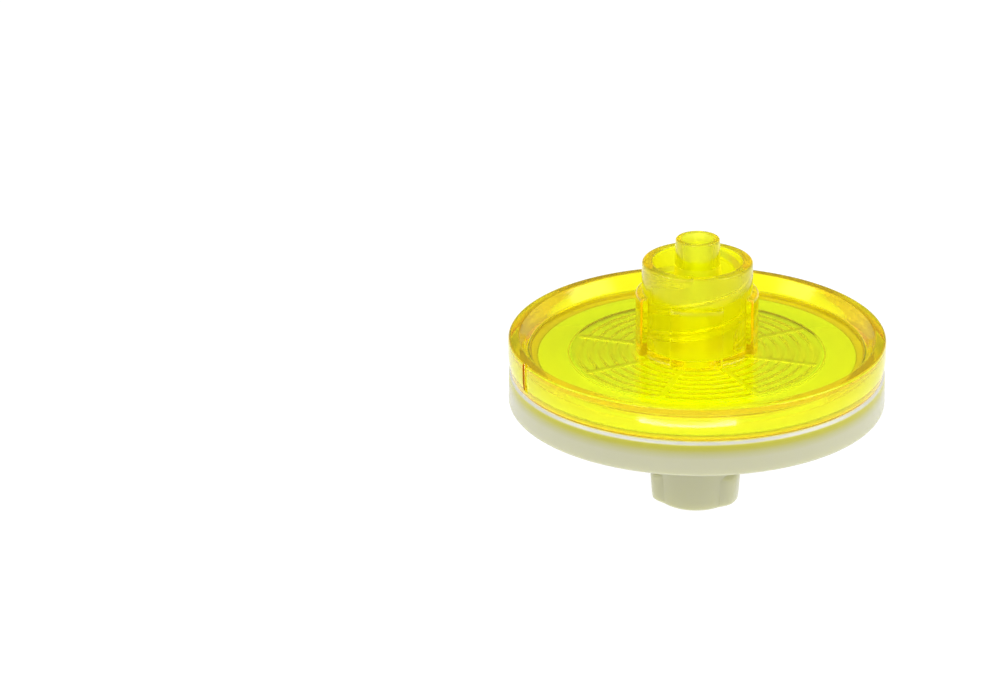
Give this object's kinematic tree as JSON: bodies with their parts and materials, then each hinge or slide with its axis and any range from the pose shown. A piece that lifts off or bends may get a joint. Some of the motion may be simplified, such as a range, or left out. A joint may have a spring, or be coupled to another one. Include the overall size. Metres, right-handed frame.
{
  "type": "syringe filter",
  "caption": "Round disposable filter for a syringe: a membrane disc welded between two plastic halves, with a female Luer inlet and a male Luer lock outlet.",
  "frame": {"origin": "centre of the inlet hub's end face, which the filter stands on", "axes": "+Z along the filter's axis from the inlet hub to the outlet tip; +X and +Y square to it, through the collar's grip pads"},
  "size_m": [0.0338, 0.0338, 0.0251],
  "materials": {
    "outlet_plastic": "clear yellow moulded plastic, glossy",
    "membrane": "white, matt, fine-pored sheet",
    "inlet_plastic": "natural milky translucent moulded plastic, glossy"
  },
  "bodies": {
    "root": {"outlet_housing": "outlet_plastic", "membrane": "membrane", "inlet_housing": "inlet_plastic"}
  },
  "joints": []
}
